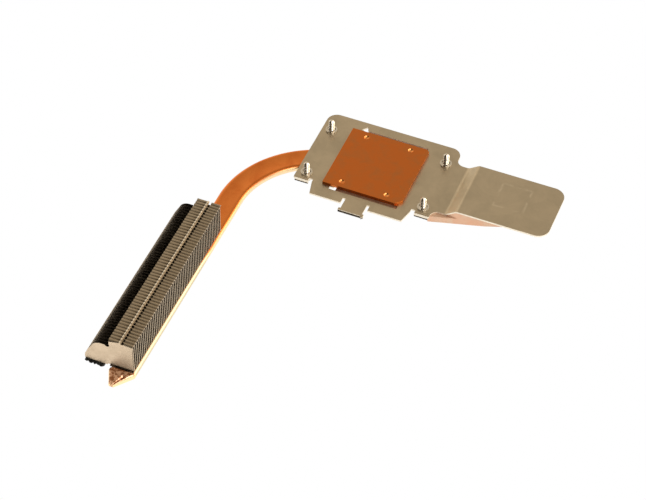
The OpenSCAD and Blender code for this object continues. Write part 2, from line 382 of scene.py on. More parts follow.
@dataclass(frozen=True)
class Finish:
    """A named material for one of the record's slots."""

    name: str
    slot: Slot

    def surface(self, sk: Sketch, place: Socket) -> dict:
        """Says what the shader's inputs get; each kind of finish has its own."""
        raise NotImplementedError

    def material(self) -> bpy.types.Material:
        """Makes the material, or finds it if it is made already."""
        found = bpy.data.materials.get(self.name)
        if found:
            return found
        mat = bpy.data.materials.new(self.name)
        mat.use_nodes = True
        sk = Sketch(mat.node_tree)
        shader = mat.node_tree.nodes["Principled BSDF"]
        place = sk.add("ShaderNodeTexCoord").outputs["Object"]
        for label, value in self.surface(sk, place).items():
            if isinstance(value, float):
                shader.inputs[label].default_value = value
            else:
                sk.link(value, shader.inputs[label])
        return mat


@dataclass(frozen=True)
class MetalFinish(Finish):
    """A bare or plated metal with stains and grain.

    spots holds the stains' scale and the noise values between which they fade in.
    """

    base: Rgb
    stain: Rgb
    spots: Triple
    rough: Span = (0.3, 0.42)
    grain: float = 2600.0
    stretch: Triple = (1.0, 1.0, 1.0)
    depth: float = 0.01
    bump: float = 0.2
    metal: float = 1.0
    grain_range: Span = (0.3, 0.7)
    stain_rough: float = 0.08

    def surface(self, sk: Sketch, place: Socket) -> dict:
        """Works out the metal's colour, roughness and relief.

        Args:
            sk: The material's sketch.
            place: Object coordinates.

        Returns:
            A socket or a value for each input of the shader.
        """
        stain = sk.blotches(place, *self.spots)
        grain = sk.group(Patterns.grain(), Vector=place, Scale=self.grain, Stretch=self.stretch)
        color = sk.mix(stain, self.base, self.stain)
        color = self.overlay(sk, place, color)
        rough = sk.ramp(grain, self.grain_range, self.rough, eased=False)
        rough = sk.number("MULTIPLY_ADD", stain, self.stain_rough, rough)
        normal = sk.relief(self.bump, self.depth, grain)
        look = {"Base Color": color, "Roughness": rough, "Normal": normal}
        return {"Metallic": self.metal, **look}

    def overlay(self, sk: Sketch, place: Socket, color: Socket) -> Socket:
        """Leaves the colour as it is; a finish with marks of its own changes it."""
        return color


@dataclass(frozen=True)
class PrintedMetalFinish(MetalFinish):
    """Sheet metal on which a soft square pad has left its outline."""

    centre: Span = (45.8, 2.1)
    half: Span = (4.9, 5.2)
    line: float = 0.7
    level: float = 1.3
    ink: Rgb = (0.80, 0.72, 0.60)
    patches: Triple = (260.0, 0.46, 0.66)
    strength: float = 0.5

    def overlay(self, sk: Sketch, place: Socket, color: Socket) -> Socket:
        """Adds the pad's faint outline on the sheet's upper face.

        Args:
            sk: The material's sketch.
            place: Object coordinates.
            color: The colour so far.

        Returns:
            The colour with the outline.
        """
        centre = (*(value * MM for value in self.centre), 0.0)
        moved = sk.add("ShaderNodeVectorMath", {"operation": "SUBTRACT"}, i0=place, i1=centre)
        axes = sk.add("ShaderNodeSeparateXYZ", Vector=moved.outputs[0]).outputs
        spans = [
            sk.number("SUBTRACT", sk.number("ABSOLUTE", axes[axis]), half * MM)
            for axis, half in enumerate(self.half)
        ]
        away = sk.number("ABSOLUTE", sk.number("MAXIMUM", *spans))
        line = sk.ramp(away, (self.line * MM, 0.0))
        faint = sk.number("MULTIPLY", line, sk.blotches(place, *self.patches))
        faint = sk.number("MULTIPLY", faint, self.strength)
        on_face = sk.number("GREATER_THAN", axes[2], self.level * MM)
        faint = sk.number("MULTIPLY", faint, on_face)
        return sk.mix(faint, color, self.ink)


@dataclass(frozen=True)
class PipeFinish(MetalFinish):
    """Drawn copper: deep on the flats, with a pale painted highlight on the sides that beside the
    fins reaches further and is greyed as solder-wetted copper.

    side_from and side_full are limits of the flatness for the painted highlight, each a gain
    inside the solder band, a value outside it.
    """

    # Pale colour of the upright sides: painted highlight.
    side: Rgb = (0.96, 0.78, 0.52)
    # Its grey beside the fins: solder-wetted copper with painted highlight.
    solder_sheen: Rgb = (0.66, 0.60, 0.44)
    band_from: float = -52.0
    band_to: float = -62.0
    band_end: float = -107.6
    side_from: Span = (0.14, 0.84)
    side_full: Span = (0.48, 0.36)
    tip: Rgb = (0.98, 0.62, 0.44)
    tip_dark: Rgb = (0.42, 0.18, 0.09)
    # Painted highlight on the upright faces of the pinched tip's rim.
    tip_rim_highlight: Rgb = (0.95, 0.78, 0.50)
    tip_patches: Triple = (900.0, 0.45, 0.55)
    flatness: str = "flatness"

    def overlay(self, sk: Sketch, place: Socket, color: Socket) -> Socket:
        """Adds the painted highlight on the sides, partly solder-wetted beside the fins, and the
        crumpled near end with a painted highlight on its rim.

        Args:
            sk: The material's sketch.
            place: Object coordinates.
            color: The colour so far.

        Returns:
            The colour with the painted highlights on the sides and the end.
        """
        flat = sk.add("ShaderNodeAttribute", {"attribute_name": self.flatness}).outputs["Fac"]
        along = sk.add("ShaderNodeSeparateXYZ", Vector=place).outputs[1]
        solder_sheen_band = sk.ramp(along, (self.band_from * MM, self.band_to * MM))
        solder_sheen_band = sk.number("MULTIPLY", solder_sheen_band, sk.number("GREATER_THAN", along, self.band_end * MM))
        starts = sk.number("MULTIPLY_ADD", solder_sheen_band, *self.side_from)
        full = sk.number("MULTIPLY_ADD", solder_sheen_band, *self.side_full)
        # Upright faces, found by flatness, take the pale colour: painted highlight.
        on_side = sk.ramp(flat, (starts, full))
        on_tip = sk.number("LESS_THAN", along, self.band_end * MM)
        crumpled = sk.mix(sk.blotches(place, *self.tip_patches), self.tip, self.tip_dark)
        color = sk.mix(on_tip, color, crumpled)
        pale = sk.mix(solder_sheen_band, self.side, self.solder_sheen)
        pale = sk.mix(on_tip, pale, self.tip_rim_highlight)
        return sk.mix(on_side, color, pale)


@dataclass(frozen=True)
class FoamFinish(Finish):
    """Open black foam."""

    base: Rgb = (0.006, 0.006, 0.006)
    worn: Rgb = (0.03, 0.028, 0.026)
    wear: Triple = (700.0, 0.45, 0.7)
    cell_scale: float = 2600.0
    cell_depth: float = 0.12
    rough: Span = (0.85, 1.0)
    bump: float = 0.8

    def surface(self, sk: Sketch, place: Socket) -> dict:
        """Works out the foam's colour, roughness and relief.

        Args:
            sk: The material's sketch.
            place: Object coordinates.

        Returns:
            A socket for each input of the shader.
        """
        cells = sk.add("ShaderNodeTexVoronoi", Vector=place, Scale=self.cell_scale).outputs[0]
        color = sk.mix(sk.blotches(place, *self.wear), self.base, self.worn)
        rough = sk.ramp(cells, (0.0, 1.0), self.rough, eased=False)
        normal = sk.relief(self.bump, self.cell_depth, cells)
        return {"Base Color": color, "Roughness": rough, "Normal": normal}


NICKEL = PrintedMetalFinish(
    "nickel_plated_sheet", Slot.PLATE, (0.56, 0.485, 0.372), (0.475, 0.415, 0.318),
    spots=(110.0, 0.4, 0.68), rough=(0.34, 0.42), stretch=(1.0, 0.35, 1.0), depth=0.008,
)
# Near-black painted shade on the lower front faces of the plate's lips.
LIP_SHADE = MetalFinish(
    "painted_shade_lip_edge", Slot.PLATE, (0.10, 0.085, 0.06), (0.03, 0.025, 0.02),
    spots=(600.0, 0.4, 0.6), rough=(0.45, 0.6), grain=4200.0, bump=0.3,
)
# Bare cut edge, and painted highlight on every upright face of the plate, the flanges too.
BRIGHT_CUT_AND_SHEEN = MetalFinish(
    "cut_edge_and_painted_sheen", Slot.PLATE, (0.92, 0.88, 0.80), (0.84, 0.79, 0.70),
    spots=(500.0, 0.42, 0.66), rough=(0.34, 0.46), grain=4200.0, depth=0.006, metal=0.5,
)
BLOCK_COPPER = MetalFinish(
    "milled_copper", Slot.BLOCK, (0.62, 0.172, 0.035), (0.53, 0.182, 0.05),
    spots=(210.0, 0.45, 0.7), rough=(0.30, 0.38), grain=2400.0, stretch=(0.25, 1.0, 1.0),
    depth=0.008, bump=0.22,
)
FOOT_COPPER = MetalFinish(
    "dulled_copper", Slot.BLOCK, (0.44, 0.29, 0.21), (0.30, 0.18, 0.12),
    spots=(420.0, 0.42, 0.64), rough=(0.40, 0.52), bump=0.3, metal=0.7,
)
PUNCHED_COPPER = MetalFinish(
    "punched_copper", Slot.BLOCK, (1.0, 0.46, 0.16), (0.95, 0.38, 0.12),
    spots=(600.0, 0.42, 0.66), rough=(0.24, 0.32), grain=3000.0, depth=0.006, bump=0.15,
)
PIPE_COPPER = PipeFinish(
    "drawn_copper", Slot.PIPE, (0.82, 0.25, 0.058), (0.68, 0.18, 0.036),
    spots=(130.0, 0.42, 0.7), rough=(0.28, 0.36), grain=1800.0,
)
PRESSED_COPPER = MetalFinish(
    "pressed_pale_copper", Slot.PIPE, (0.74, 0.44, 0.31), (0.74, 0.54, 0.42),
    spots=(160.0, 0.40, 0.62), rough=(0.42, 0.52), grain=1500.0, metal=0.5,
)
WICK_COPPER = MetalFinish(
    "sintered_copper", Slot.WICK, (0.45, 0.18, 0.07), (0.3, 0.11, 0.05),
    spots=(900.0, 0.4, 0.6), rough=(0.6, 0.8), grain=5000.0, depth=0.06, bump=0.8,
)
FIN_SHEET = MetalFinish(
    "fin_sheet", Slot.FIN, (0.66, 0.56, 0.44), (0.56, 0.47, 0.36),
    spots=(240.0, 0.4, 0.7), rough=(0.26, 0.36), stretch=(1.0, 0.4, 1.0), depth=0.006, bump=0.18,
)
# Lighter, less metallic copy of the fin sheet on the end fin that faces the lamp: painted light.
END_SHEET_LIT = replace(
    FIN_SHEET, name="painted_light_end_fin_sheet", base=(0.70, 0.585, 0.46), stain=(0.60, 0.50, 0.385),
    spots=(260.0, 0.4, 0.7), rough=(0.40, 0.52), metal=0.45,
)
# Near-black painted shade on the edges and rear faces of the fins' noses.
FIN_NOSE_SHADE = MetalFinish(
    "painted_shade_fin_nose", Slot.FIN, (0.045, 0.038, 0.032), (0.015, 0.012, 0.01),
    spots=(900.0, 0.35, 0.65), rough=(0.45, 0.6), grain=5200.0, bump=0.4,
)
# Near-white painted highlight on the crests of the fins' tabs.
FIN_CREST_HIGHLIGHT = MetalFinish(
    "painted_highlight_fin_crest", Slot.FIN, (1.0, 0.97, 0.90), (0.94, 0.90, 0.82),
    spots=(500.0, 0.4, 0.7), rough=(0.16, 0.24), grain=4200.0, depth=0.005, bump=0.15, metal=0.5,
)
# Darker copy of the fin sheet on the tabs' upward faces: painted shade.
FIN_TOP_SHADE = replace(
    FIN_SHEET, name="painted_shade_tab_top", base=(0.50, 0.425, 0.33), stain=(0.42, 0.355, 0.27),
    spots=(300.0, 0.4, 0.7), rough=(0.3, 0.42), bump=0.2,
)
# Solder bead coloured near black: painted shade of the gap under the end fin.
SOLDER_AND_SHADE = MetalFinish(
    "solder_with_painted_shade", Slot.FIN, (0.16, 0.12, 0.09), (0.015, 0.011, 0.009),
    spots=(900.0, 0.40, 0.55), rough=(0.4, 0.6), grain=4000.0, depth=0.03, bump=0.6,
)
SCREW_STEEL = MetalFinish(
    "bright_screw_plating", Slot.SCREW, (0.80, 0.77, 0.72), (0.66, 0.62, 0.56),
    spots=(500.0, 0.45, 0.7), rough=(0.12, 0.2), grain=5000.0, depth=0.004, bump=0.12,
)
CLIP_STEEL = replace(
    SCREW_STEEL, name="bright_ring_plating", slot=Slot.CLIP, base=(0.78, 0.75, 0.70),
    stain=(0.62, 0.58, 0.52), rough=(0.14, 0.22),
)
FOAM = FoamFinish("black_foam", Slot.FOAM)


@dataclass
class Workshop:
    """Hands finished pieces to the frame."""

    frame: dict
    made: int = 0

    def copy(self, node: str, name: str, merge: float) -> Piece:
        """Copies a node of the frame into a new piece with joined faces.

        Args:
            node: Name of the node.
            name: Name of the new piece.
            merge: Distance in millimetres under which corners become one.

        Returns:
            The new object, with flat areas as single faces.
        """
        mesh = self.frame["nodes"][node].data.copy()
        mesh.materials.clear()
        obj = bpy.data.objects.new(name, mesh)
        mesh.name = name
        bpy.context.scene.collection.objects.link(obj)
        Bench.only(obj)
        bpy.ops.mesh.customdata_custom_splitnormals_clear()
        Bench.edit_all(obj)
        bpy.ops.mesh.remove_doubles(threshold=merge * MM)
        bpy.ops.mesh.dissolve_limited(angle_limit=math.radians(0.6))
        Bench.leave()
        return obj

    def dress(self, obj: Piece, finishes: tuple[Finish, ...], body: str, *nodes: str) -> None:
        """Gives a piece its finishes, body and the nodes it stands for.

        Args:
            obj: The piece. If it has its materials already, it keeps them.
            finishes: Its finishes in the order of its material indices.
            body: The body that it rides on.
            *nodes: The nodes that it replaces.
        """
        if not obj.data.materials:
            for finish in finishes:
                obj.data.materials.append(finish.material())
        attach(obj, body)
        if nodes:
            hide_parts(*nodes)
        self.made += 1
        LOG.info("%s: %d faces on %s", obj.name, len(obj.data.polygons), body)

    def paint(self, node: str, finish: Finish) -> None:
        """Gives a node of the frame its finish."""
        mesh = self.frame["nodes"][node].data
        mesh.materials.clear()
        mesh.materials.append(finish.material())
        LOG.info("%s: node with %s", node, finish.name)


@dataclass
class SpringPlate:
    """The sprung sheet with its ramp and extension.

    lips holds, for the cross bar and the ears, the limits in y and z that their lips lie beyond;
    the lips' lower front faces are painted near black as shade.
    """

    shop: Workshop
    ramp_start: float = 27.7
    ramp_end: float = 31.2
    ramp_offset: float = 0.56
    edge: float = 0.16
    lips: tuple[Span, ...] = ((-21.0, -1.2), (-13.9, -1.98))
    lip_facing: float = -0.3
    flat_facing: float = 0.75

    def build(self) -> None:
        """Rounds the sheet's bends and edges, paints shade on the lips' lower front faces, and
        paints its upright faces pale, partly bare cut edge and partly painted highlight.
        """
        obj = self.shop.copy("plate", "spring_plate", 0.02)
        Bench.pick_edges(obj, self.at_bend)
        bpy.ops.mesh.bevel(offset=self.ramp_offset * MM, segments=4, affect="EDGES")
        Bench.leave()
        for _, level in self.lips:
            Bench.edit_all(obj)
            bpy.ops.mesh.bisect(plane_co=(0, 0, level * MM), plane_no=(0, 0, 1))
            Bench.leave()
        Bench.bevel(obj, self.edge, 2, 50.0)
        Bench.shade(obj)
        self.shop.dress(obj, (NICKEL, LIP_SHADE, BRIGHT_CUT_AND_SHEEN), "base", "plate")
        for face in obj.data.polygons:
            at = face.center / MM
            on_lip = any(at.y < front and at.z < level for front, level in self.lips)
            # Lower front faces of the lips: painted shade.
            if on_lip and face.normal.y < self.lip_facing:
                face.material_index = 1
            # Other upright faces: partly bare cut edge, partly painted highlight.
            elif abs(face.normal.z) < self.flat_facing:
                face.material_index = 2

    def at_bend(self, a: Vector, b: Vector) -> bool:
        """True for an edge that runs across the sheet at either end of the ramp."""
        across = abs(a.x - b.x) < 0.05 and abs(a.z - b.z) < 0.05 and abs(a.y - b.y) > 3.0
        return across and min(abs(a.x - self.ramp_start), abs(a.x - self.ramp_end)) < 0.1


@dataclass
class ContactBlock:
    """The copper block with its punched marks."""

    shop: Workshop
    edge: float = 0.16
    foot_top: float = -1.05
    foot_right: float = 12.2
    foot_close: float = 0.25
    marks: Span = (15.4, 22.1)
    mark_r: float = 1.0
    mark_under: float = -0.01

    def build(self) -> None:
        """Rounds the block's edges and finishes its foot and marks."""
        obj = self.shop.copy("contact_block", "copper_block", 0.012)
        Bench.shift(obj, lambda co: abs(co.x - self.foot_right) < 0.02, (self.foot_close, 0, 0))
        Bench.bevel(obj, self.edge, 3, 40.0)
        Bench.shade(obj)
        finishes = (BLOCK_COPPER, FOOT_COPPER, PUNCHED_COPPER)
        self.shop.dress(obj, finishes, "base", "contact_block")
        for face in obj.data.polygons:
            at = face.center / MM
            off = Vector((abs(at.x), abs(at.y))) - Vector(self.marks) / 2
            if at.z < self.foot_top:
                face.material_index = 1
            elif off.length < self.mark_r and at.z < self.mark_under and face.normal.z > 0.05:
                face.material_index = 2


@dataclass
class HeatPipe:
    """The flattened pipe with its pinched near end and its pressed far end.

    dish and crease hold a place and a half width, as shares of the pipe's half width, and a depth.
    """

    shop: Workshop
    width: float = 8.1
    thick: float = 2.5
    wall: float = 0.4
    level: float = -2.85
    leg_x: float = -38.55
    leg_front: float = -107.8
    leg_steps: int = 12
    bend_r: float = 30.0
    bend_angle: float = 100.0
    bend_steps: int = 56
    bend_dish: float = 0.16
    bend_margin: float = 8.0
    bend_fade: float = 25.0
    run_length: float = 26.8
    run_steps: int = 6
    tip_length: float = 5.8
    tip_steps: int = 11
    tip_plain: float = 0.1
    tip_width: float = 1.8
    tip_shift: float = -1.3
    tip_swell: float = 0.6
    tip_top: float = -2.7
    tip_rise: float = 0.3
    dish: Triple = (-0.12, 0.5, 0.42)
    crease: Triple = (0.36, 0.15, 0.75)
    far_edge: float = 0.12

    def build(self) -> None:
        """Makes the pipe's shell and its far end, and paints the wick inside."""
        shell = self.shell()
        self.press_near_end(shell)
        Bench.reshape(shell, self.dished)
        self.finish_shell(shell)
        far = self.shop.copy("pipe_end_far", "pipe_far_end", 0.01)
        Bench.bevel(far, self.far_edge, 3, 30.0)
        Bench.shade(far, 40.0)
        self.shop.dress(shell, (PIPE_COPPER,), "base", "heat_pipe", "pipe_end_near")
        self.shop.dress(far, (PRESSED_COPPER,), "base", "pipe_end_far")
        self.shop.paint("pipe_wick", WICK_COPPER)

    def shell(self) -> Piece:
        """Extrudes and spins the pipe's outline along its path.

        Returns:
            An open shell from the near end's root to the end of the run.
        """
        bpy.ops.mesh.primitive_circle_add(
            vertices=40, radius=self.thick / 2 * MM, rotation=(math.pi / 2, 0, 0),
            location=(self.leg_x * MM, self.leg_front * MM, self.level * MM),
        )
        obj = Bench.take_primitive("pipe_shell")
        half_span = (self.width - self.thick) / 2
        near = 0.001
        Bench.shift(obj, lambda co: co.x - self.leg_x < -near, (-half_span, 0, 0))
        Bench.shift(obj, lambda co: co.x - self.leg_x >= -near, (half_span, 0, 0))
        Bench.pick_edges(obj, lambda a, b: abs(a.x - b.x) > half_span)
        bpy.ops.mesh.subdivide(number_cuts=11)
        Bench.leave()
        Bench.edit_all(obj)
        leg = -self.leg_front - self.bend_r
        self.extrude(self.leg_steps, (0, leg / self.leg_steps, 0))
        bpy.ops.mesh.spin(
            steps=self.bend_steps, angle=math.radians(self.bend_angle), axis=(0, 0, 1),
            center=((self.leg_x + self.bend_r) * MM, -self.bend_r * MM, 0),
        )
        turn = math.radians(self.bend_angle - 90)
        step = self.run_length / self.run_steps
        self.extrude(self.run_steps, (step * math.cos(turn), -step * math.sin(turn), 0))
        bpy.ops.mesh.select_all(action="SELECT")
        bpy.ops.mesh.remove_doubles(threshold=0.002 * MM)
        Bench.leave()
        return obj

    @staticmethod
    def extrude(steps: int, move: Triple) -> None:
        """Extrudes the selected edges a number of times, each by a move in millimetres."""
        move = tuple(value * MM for value in move)
        for _ in range(steps):
            bpy.ops.mesh.extrude_edges_move(TRANSFORM_OT_translate={"value": move})

    def press_near_end(self, obj: Piece) -> None:
        """Extrudes the open front loop into the pinched end and presses its crease."""
        front = self.leg_front
        Bench.pick_edges(obj, lambda a, b: max(abs(a.y - front), abs(b.y - front)) < 0.005)
        self.extrude(self.tip_steps, (0, -self.tip_length / self.tip_steps, 0))
        bpy.ops.mesh.edge_face_add()
        Bench.leave()
        Bench.reshape(obj, self.pressed)

    def pressed(self, co: Vector) -> Vector | None:
        """Moves one point of the plain tube to its place on the pinched end.

        Args:
            co: The point in millimetres.

        Returns:
            The new place in millimetres, or None for a point behind the end's root.
        """
        along = min((self.leg_front - co.y) / self.tip_length, 1.0)
        if along <= 1e-4:
            return None
        t = max(0.0, (along - self.tip_plain) / (1.0 - self.tip_plain))
        across = (co.x - self.leg_x) / (self.width / 2)
        rise = (co.z - self.level) / (self.thick / 2)
        half = self.width / 2 + (self.tip_width / 2 - self.width / 2) * t
        root_top, root_bottom = self.level + self.thick / 2, self.level - self.thick / 2
        top = root_top + (self.tip_top - root_top) * t ** 1.2
        bottom = root_bottom + self.tip_rise * t ** 2
        z = (top + bottom) / 2 + rise * (top - bottom) / 2
        swell = min(across, 0.0) * self.tip_swell * min(1.0, along * 6) * (1.0 - t)
        x = self.leg_x + self.tip_shift * t + across * half + swell
        if rise > 0:
            depth = 0.0
            for (at, reach, deep), power in ((self.dish, 4), (self.crease, 2)):
                press = math.exp(-(((across - at) / reach) ** power)) * min(1.0, along * 2.5)
                depth += deep * press
            z -= depth * (1.0 - 0.3 * t) * min(1.0, rise * 1.5)
        return Vector((x, co.y, z))

    def dished(self, co: Vector) -> Vector | None:
        """Sinks one point of the bend's upper face.

        Args:
            co: The point in millimetres.

        Returns:
            The new place in millimetres, or None for a point that stays.
        """
        spoke = co.xy - Vector((self.leg_x + self.bend_r, -self.bend_r))
        angle = math.degrees(math.atan2(spoke.y, -spoke.x))
        last = self.bend_angle + self.bend_margin
        in_bend = -self.bend_margin < angle < last and spoke.length > 20
        if not in_bend or co.z <= self.level + 0.9:
            return None
        off = (spoke.length - self.bend_r) / (self.width / 2)
        flat = max(0.0, 1.0 - (off / 0.72) ** 2)
        fade_in = min(1.0, max(0.0, (angle + self.bend_margin) / self.bend_fade))
        fade_out = min(1.0, max(0.0, (last - angle) / self.bend_fade))
        co.z -= self.bend_dish * flat * (fade_in * fade_out)
        return co

    def finish_shell(self, obj: Piece) -> None:
        """Gives the shell its wall, writes how flat it lies at each point and shades it."""
        Bench.edit_all(obj)
        bpy.ops.mesh.normals_make_consistent(inside=False)
        Bench.leave()
        Bench.apply(obj, "SOLIDIFY", thickness=self.wall * MM, offset=-1.0, use_even_offset=False)
        # Flatness picks the upright faces on which the finish paints a highlight.
        flatness = obj.data.attributes.new(PIPE_COPPER.flatness, "FLOAT", "POINT")
        for spot, vertex in enumerate(obj.data.vertices):
            flatness.data[spot].value = abs(vertex.normal.z)
        Bench.only(obj)
        bpy.ops.object.shade_smooth_by_angle(angle=math.radians(50.0))


@dataclass
class FinStack:
    """The stamped fins with their folded tabs."""

    shop: Workshop
    count: int = 54
    pitch: float = 1.17
    sheet: float = 0.2
    front: float = -107.5
    top: float = 9.6
    bottom: float = -1.6
    tall_left: float = -43.0
    tall_right: float = -35.1
    foot_fold: float = 0.5
    roll: float = 0.9
    sag: float = 0.14
    hook_right: float = -38.95
    hook_slope: float = 0.36
    hem_width: float = 0.22
    hem_thick: float = 0.44
    hem_inset: float = 0.35
    hem_round: float = 0.09
    nose_root: float = -44.0
    nose_length: float = 7.4
    nose_lean: float = 0.10
    lean_seed: int = 5
    seam_radius: float = 0.36
    seam_short: float = 0.3
    seam_place: Span = (-0.22, 0.02)
    seam_cuts: int = 40
    seam_swell: Span = (0.55, 1.25)
    seam_seed: int = 3

    def build(self) -> None:
        """Shapes one fin, sets out the stack with a piece for each node, and adds the solder bead
        painted dark as shade.
        """
        master = self.master()
        rng = random.Random(self.lean_seed)
        fins = [self.place(master, i, rng) for i in range(self.count)]
        pairs = [(f"fin_pair_{n + 1:02d}", 2) for n in range((self.count - 2) // 2)]
        for node, size in [("fin_front", 1), *pairs, ("fin_rear", 1)]:
            members, fins = fins[:size], fins[size:]
            piece = Bench.join(members, node.replace("fin_", "stamped_fin_"))
            # The end fin takes the lighter copy of the sheet: painted light.
            if node == "fin_front":
                piece.data.materials[0] = END_SHEET_LIT.material()
            self.shop.dress(piece, (FIN_SHEET,), "base", node)
        bpy.data.objects.remove(master)
        self.shaded_solder_seam()

    def shaded_solder_seam(self) -> None:
        """Runs an uneven bead of solder along the foot of the first fin, coloured near black as
        painted shade.
        """
        out, lift = self.seam_place
        middle = (self.tall_left + self.tall_right) / 2
        place = Vector((middle, self.front + out, self.bottom + lift))
        bpy.ops.mesh.primitive_cylinder_add(
            vertices=12, radius=self.seam_radius * MM, location=place * MM,
            depth=(self.tall_right - self.tall_left - self.seam_short) * MM,
            rotation=(0, math.pi / 2, 0),
        )
        seam = Bench.take_primitive("shaded_solder_seam")
        Bench.pick_edges(seam, lambda a, b: abs(a.x - b.x) > 1.0)
        bpy.ops.mesh.subdivide(number_cuts=self.seam_cuts)
        Bench.leave()
        rng = random.Random(self.seam_seed)

        def swollen(co: Vector) -> Vector:
            """Moves a point nearer to the bead's axis or away from it."""
            grow = rng.uniform(*self.seam_swell)
            y, z = place.y + (co.y - place.y) * grow, place.z + (co.z - place.z) * grow
            return Vector((co.x, y, z))

        Bench.reshape(seam, swollen)
        Bench.only(seam)
        bpy.ops.object.shade_smooth()
        self.shop.dress(seam, (SOLDER_AND_SHADE,), "base")

    def master(self) -> Piece:
        """Rounds one fin's folds, slopes its tabs and finishes its faces, with painted shade on
        the nose and the tab tops and a painted highlight on the crest.

        Returns:
            The fin that the others are copied from.
        """
        obj = self.shop.copy("fin_rear", "fin_master", 0.015)
        rear = self.front + (self.count - 1) * self.pitch
        Bench.edit_all(obj)
        bpy.ops.transform.translate(value=(0, -rear * MM, 0))
        Bench.leave()
        for inset, level, radius in (
            (0.0, self.top, self.roll),
            (self.sheet, self.top - self.sheet, self.roll - self.sheet),
            (0.0, self.bottom, self.foot_fold),
        ):
            fold = Vector((inset, level))
            Bench.pick_edges(obj, lambda a, b, at=fold: self.on_fold(a, b, at))
            bpy.ops.mesh.bevel(offset=radius * MM, segments=5, affect="EDGES", clamp_overlap=False)
            Bench.leave()
        low, high = self.top - 0.3, self.top + 0.05
        Bench.shift(obj, lambda co: co.y > 1.0 and low < co.z < high, (0, 0, -self.sag))
        hook = Vector((self.hook_right - 0.1, self.top + 0.1))
        Bench.shift(obj, lambda co: co.x > hook.x and co.z > hook.y, (-self.hook_slope, 0, 0))
        obj = Bench.join([obj, self.hem()], "fin_master")
        Bench.only(obj)
        bpy.ops.object.shade_smooth_by_angle(angle=math.radians(35.0))
        for finish in (FIN_SHEET, FIN_NOSE_SHADE, FIN_CREST_HIGHLIGHT, FIN_TOP_SHADE):
            obj.data.materials.append(finish.material())
        for face in obj.data.polygons:
            at = face.center / MM
            # The nose's edges and rear faces: painted shade.
            if at.x < self.tall_left - 0.05 and face.normal.y > -0.5:
                face.material_index = 1
            # The crest above the tabs: painted highlight.
            elif at.z > self.top + 0.02:
                face.material_index = 2
            # The tabs' upward faces: painted shade.
            elif at.z > self.top - self.roll and face.normal.z > 0.3:
                face.material_index = 3
        return obj

    @staticmethod
    def on_fold(a: Vector, b: Vector, fold: Vector) -> bool:
        """True for a long edge whose two ends lie on a fold, given by its y and z."""
        ends = ((end.y - fold.x, end.z - fold.y) for end in (a, b))
        return abs(a.x - b.x) > 1.0 and max(abs(off) for end in ends for off in end) < 0.03

    def hem(self) -> Piece:
        """Makes the rolled right edge of a fin."""
        low, high = self.bottom + self.hem_inset, self.top - self.hem_inset
        middle = (self.tall_right - self.hem_width / 2, self.hem_thick / 2, (low + high) / 2)
        bpy.ops.mesh.primitive_cube_add(
            size=1.0, location=Vector(middle) * MM,
            scale=Vector((self.hem_width, self.hem_thick, high - low)) * MM,
        )
        hem = Bench.take_primitive("fin_hem")
        right = self.tall_right - 0.01
        Bench.pick_edges(hem, lambda a, b: abs(a.z - b.z) > 1.0 and a.x > right)
        bpy.ops.mesh.bevel(offset=self.hem_round * MM, segments=2, affect="EDGES")
        Bench.leave()
        return hem

    def place(self, master: Piece, index: int, rng: random.Random) -> Piece:
        """Copies the fin to its place, with its nose leaning by a hair; the last fin's rear faces
        lose the nose's painted shade.

        Args:
            master: The shaped fin.
            index: Which fin, counted from the front.
            rng: Source of the lean.

        Returns:
            The copy.
        """
        obj = bpy.data.objects.new(f"fin_copy_{index:02d}", master.data.copy())
        bpy.context.scene.collection.objects.link(obj)
        lean = rng.uniform(-self.nose_lean, self.nose_lean)
        shift = self.front + index * self.pitch

        def placed(co: Vector) -> Vector:
            """Moves a point of the fin, and leans it if it is on the nose."""
            reach = max(0.0, (self.nose_root - co.x) / self.nose_length)
            return Vector((co.x, co.y + shift + (lean * reach if co.y > -0.3 else 0.0), co.z))

        Bench.reshape(obj, placed)
        # The rear faces of the last fin keep the plain sheet instead of the painted shade.
        if index == self.count - 1:
            for face in obj.data.polygons:
                if face.material_index == 1 and face.normal.y > 0.5:
                    face.material_index = 0
        return obj


